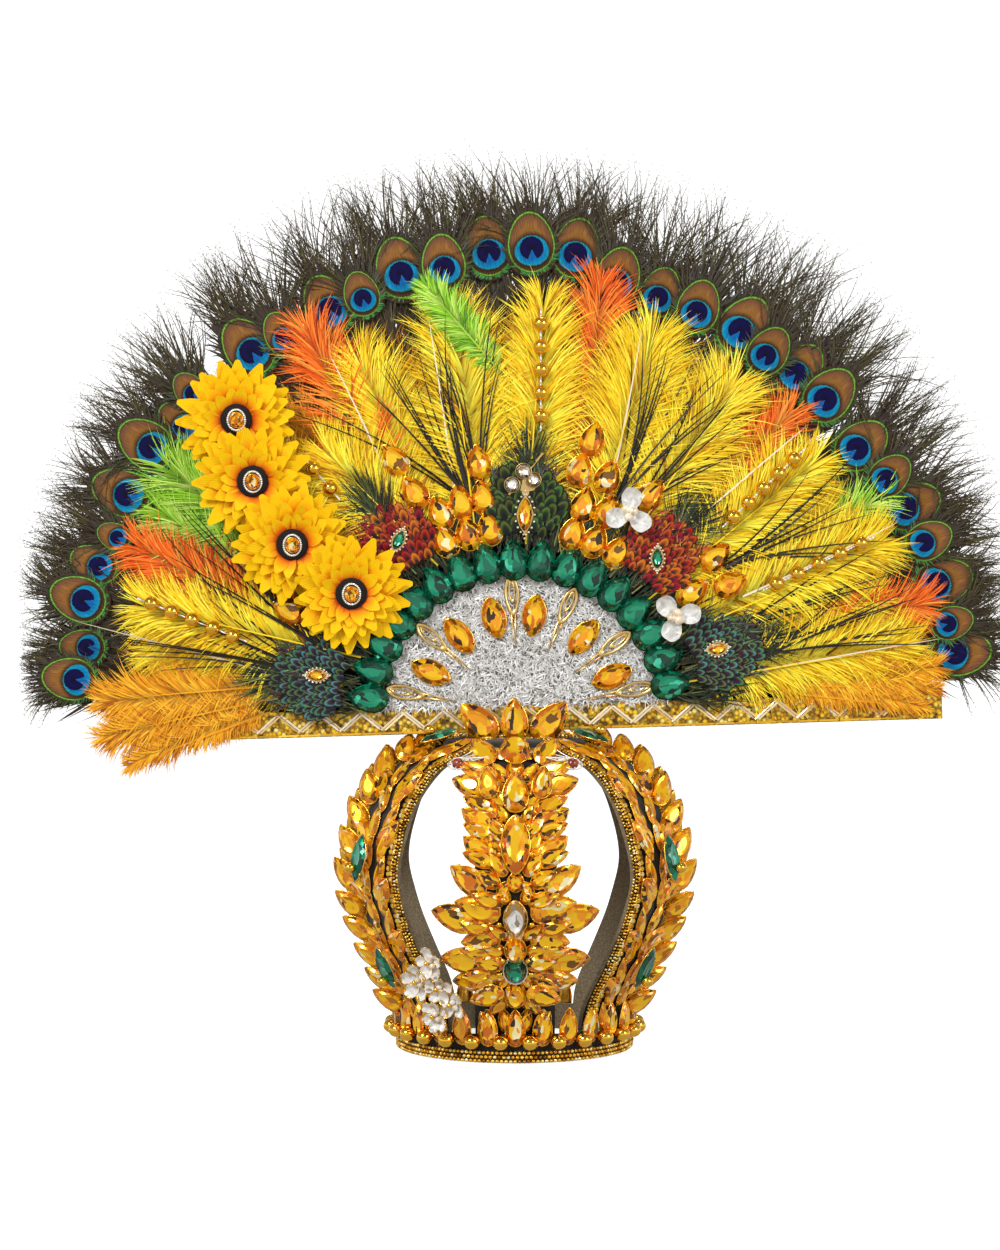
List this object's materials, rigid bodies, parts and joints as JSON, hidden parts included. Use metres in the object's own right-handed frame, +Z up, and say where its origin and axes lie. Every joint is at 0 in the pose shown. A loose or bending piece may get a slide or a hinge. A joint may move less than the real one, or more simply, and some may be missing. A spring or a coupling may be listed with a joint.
{
  "type": "feather crown",
  "caption": "Carnival crown: open orb of six jewelled felt strips on a head band, with a half-round fan of peacock and ostrich feathers, silk flowers and brooches on top.",
  "frame": {"origin": "centre of the head band, on the surface that the band rests on", "axes": "+Z up, the front with the jewels faces -Y, +X is the viewer's right from the front"},
  "size_m": [0.8005, 0.3105, 0.7299],
  "materials": {
    "felt_black": "black felt",
    "gold_beads": "seed beads in gold",
    "gold_metal": "polished gold colour",
    "amber_glass": "foil-backed cut glass",
    "green_glass": "foil-backed cut glass",
    "silver_pearl": "pearl and silver",
    "pearl_white": "pearl",
    "gold_brocade": "brocade with sequins",
    "silver_cloth": "crinkled metal cloth",
    "painted_wire": "black paint",
    "peacock_feather": "iridescent feather",
    "ostrich_gold": "dyed feather",
    "ostrich_green": "dyed feather",
    "ostrich_orange": "dyed feather",
    "ostrich_yellow": "dyed feather",
    "silk_yellow": "silk petals",
    "thread": "beading thread"
  },
  "bodies": {
    "root": {"band": "felt_black", "band_braid": "gold_beads", "band_drops": "amber_glass", "band_balls": "gold_metal", "strip_front": "felt_black", "strip_right_front": "felt_black", "strip_right_back": "felt_black", "strip_back": "felt_black", "strip_left_back": "felt_black", "strip_left_front": "felt_black", "crown_cap": "felt_black", "front_stones_upper": "amber_glass", "front_stones_lower": "amber_glass", "stones_right_front": "amber_glass", "stones_right_back": "amber_glass", "stones_back": "amber_glass", "stones_left_back": "amber_glass", "stones_left_front": "amber_glass", "band_flowers": "silver_pearl", "fan_board": "felt_black", "fan_bar": "gold_brocade", "silver_disc": "silver_cloth", "fan_post": "painted_wire", "peacock_fringe": "peacock_feather", "gold_plumes": "ostrich_gold", "green_plumes": "ostrich_green", "orange_plumes": "ostrich_orange", "yellow_back": "ostrich_yellow", "yellow_front": "ostrich_yellow", "emerald_arc": "green_glass", "disc_navettes": "amber_glass", "gold_filigree": "gold_metal", "cluster_left": "amber_glass", "cluster_right": "amber_glass", "crest_stones": "amber_glass", "sunflower_1": "silk_yellow", "sunflower_2": "silk_yellow", "sunflower_3": "silk_yellow", "sunflower_4": "silk_yellow", "sunflower_jewels": "amber_glass", "peacock_patch_1": "peacock_feather", "peacock_patch_2": "peacock_feather", "peacock_patch_3": "peacock_feather", "peacock_patch_4": "peacock_feather", "peacock_patch_5": "peacock_feather", "brooches": "gold_metal", "brooch_stones": "amber_glass", "pearl_flower_1": "pearl_white", "pearl_flower_2": "pearl_white", "bead_string_1": "gold_metal", "bead_string_2": "gold_metal", "bead_string_3": "gold_metal", "bead_string_4": "gold_metal", "bead_string_5": "gold_metal", "bead_thread_1": "thread", "bead_thread_2": "thread", "bead_thread_3": "thread", "bead_thread_4": "thread", "bead_thread_5": "thread"}
  },
  "joints": []
}
